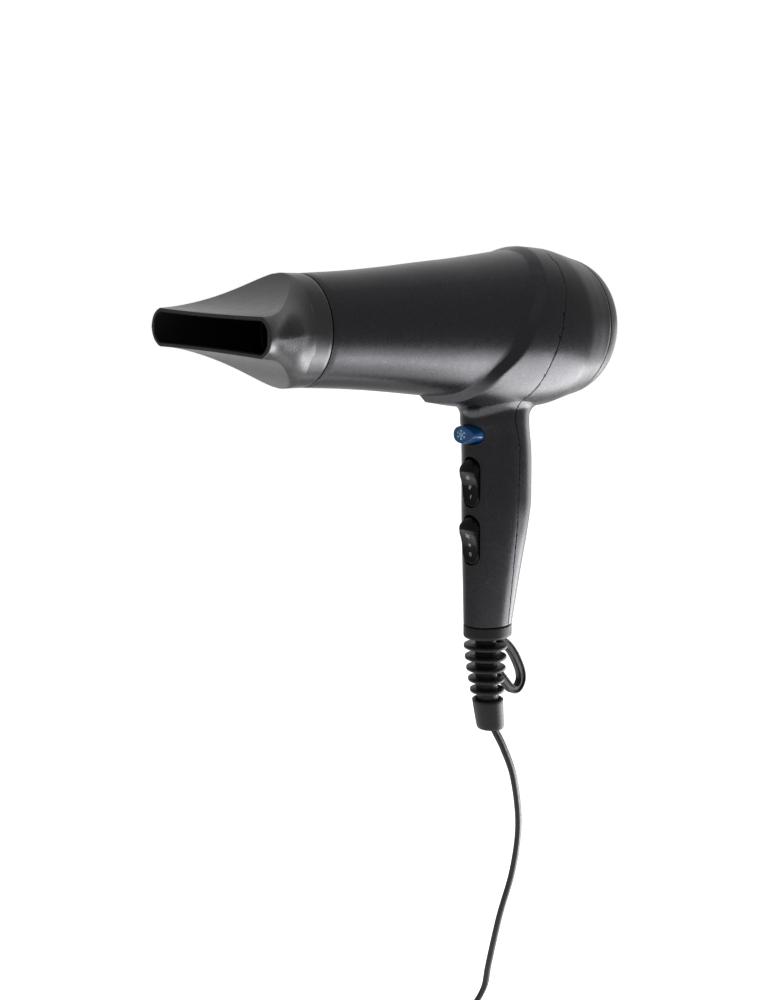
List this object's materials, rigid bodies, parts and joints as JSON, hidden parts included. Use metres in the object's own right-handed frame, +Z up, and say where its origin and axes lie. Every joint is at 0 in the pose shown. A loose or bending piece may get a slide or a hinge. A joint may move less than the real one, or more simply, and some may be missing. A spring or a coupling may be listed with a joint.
{
  "type": "hair dryer",
  "caption": "Pistol-grip hair dryer with a flat swivelling nozzle, rocker switches, a cool-shot button, a removable rear cover and a ribbed cord boot with hanging loop.",
  "frame": {"origin": "middle of the hand grip, on the handle's centre line 100 mm below the barrel's axis", "axes": "+Z up along the handle, -X the way the air leaves the nozzle, +Y to the left of someone who looks along -X"},
  "size_m": [0.2398, 0.1027, 0.5399],
  "materials": {
    "shell_charcoal": "satin metallic charcoal",
    "nozzle_grey": "satin grey",
    "rim_grey": "satin grey",
    "soft_black": "matt black",
    "gloss_black": "gloss black with pale grey symbols",
    "button_blue": "gloss blue",
    "black_rubber": "matt soft black",
    "steel": "plain",
    "brass": "plain",
    "mica": "mica sheet",
    "heating_wire": "resistance wire",
    "copper_winding": "enamelled copper on a steel core",
    "board_green": "circuit board",
    "pale_plastic": "pale moulding",
    "red_lead": "insulation",
    "blue_lead": "insulation",
    "magnet": "ferrite"
  },
  "bodies": {
    "housing": {"front_shell": "shell_charcoal", "rear_shell": "shell_charcoal", "outlet_grille": "soft_black", "motor_mount": "soft_black", "motor_case": "steel", "motor_end_cap": "pale_plastic", "bearing_front": "brass", "bearing_rear": "brass", "magnet_upper": "magnet", "magnet_lower": "magnet", "heater_tube": "mica", "mica_board_upright": "mica", "mica_board_level": "mica", "heating_coil": "heating_wire", "thermal_cutout": "steel", "thermal_fuse": "pale_plastic", "heat_switch": "soft_black", "speed_switch": "soft_black", "cool_shot_spring": "steel", "cool_shot_switch": "soft_black", "switch_board": "board_green", "rectifier": "soft_black", "heater_lead_live": "red_lead", "heater_lead_neutral": "blue_lead", "supply_lead": "black_rubber", "handle_screw_upper": "steel", "handle_screw_lower": "steel", "end_ring": "black_rubber", "strain_relief": "black_rubber", "mains_cord": "black_rubber", "cord_coil": "black_rubber", "cord_tail": "black_rubber", "cord_tie": "black_rubber", "plug": "black_rubber", "plug_pin_1": "brass", "plug_pin_2": "brass"},
    "nozzle": {"concentrator_nozzle": "nozzle_grey"},
    "rear_cover": {"inlet_cover": "rim_grey", "lint_filter": "steel"},
    "heat_switch_rocker": {"heat_rocker": "gloss_black"},
    "speed_switch_rocker": {"speed_rocker": "gloss_black"},
    "cool_shot": {"cool_shot_button": "button_blue"},
    "rotor": {"fan_impeller": "pale_plastic", "motor_shaft": "steel", "armature": "copper_winding"}
  },
  "joints": [
    {"name": "nozzle_swivel", "type": "hinge", "parent": "housing", "child": "nozzle", "pos_m": [-0.138, 0, 0.1], "axis": [1, 0, 0], "continuous": true},
    {"name": "rear_cover_release", "type": "slide", "parent": "housing", "child": "rear_cover", "axis": [1, 0, 0], "range_m": [0, 0.02]},
    {"name": "heat_rocker_tilt", "type": "hinge", "parent": "housing", "child": "heat_switch_rocker", "pos_m": [-0.0155, 0, 0.0197], "axis": [0, 1, 0], "range_deg": [0, 21]},
    {"name": "speed_rocker_tilt", "type": "hinge", "parent": "housing", "child": "speed_switch_rocker", "pos_m": [-0.0155, 0, -0.0112], "axis": [0, 1, 0], "range_deg": [0, 21]},
    {"name": "cool_shot_press", "type": "slide", "parent": "housing", "child": "cool_shot", "axis": [1, 0, 0], "range_m": [0, 0.0025], "stiffness_N_per_m": 400, "springref_m": -0.001, "deforming": ["cool_shot_spring"]},
    {"name": "rotor_spin", "type": "hinge", "parent": "housing", "child": "rotor", "pos_m": [0, 0, 0.1], "axis": [1, 0, 0], "continuous": true}
  ]
}
